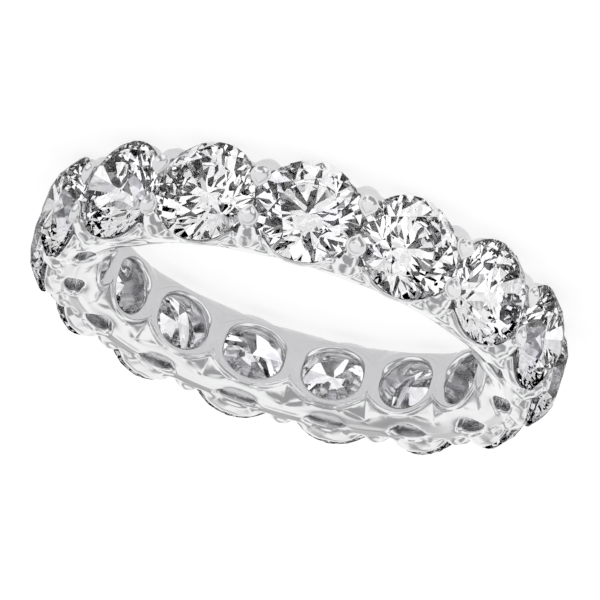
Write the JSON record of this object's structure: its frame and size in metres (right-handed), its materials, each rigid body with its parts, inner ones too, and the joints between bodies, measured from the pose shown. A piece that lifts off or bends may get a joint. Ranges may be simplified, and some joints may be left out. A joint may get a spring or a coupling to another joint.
{
  "type": "eternity ring",
  "caption": "Full eternity ring of white metal: large round brilliant stones all the way round, shared prongs, and a pierced gallery with lens-shaped windows and oval openings inside.",
  "frame": {"origin": "on the ring's axis, at the level of the surface that the ring lies on", "axes": "+Z is the ring's axis, straight up as the ring lies on its side; a place where two stones meet is on +X"},
  "size_m": [0.0232, 0.0234, 0.0045],
  "materials": {
    "white_gold": "mirror polished",
    "diamond": "polished facets"
  },
  "bodies": {
    "root": {"setting": "white_gold", "stone_1": "diamond", "stone_2": "diamond", "stone_3": "diamond", "stone_4": "diamond", "stone_5": "diamond", "stone_6": "diamond", "stone_7": "diamond", "stone_8": "diamond", "stone_9": "diamond", "stone_10": "diamond", "stone_11": "diamond", "stone_12": "diamond", "stone_13": "diamond", "stone_14": "diamond", "stone_15": "diamond"}
  },
  "joints": []
}
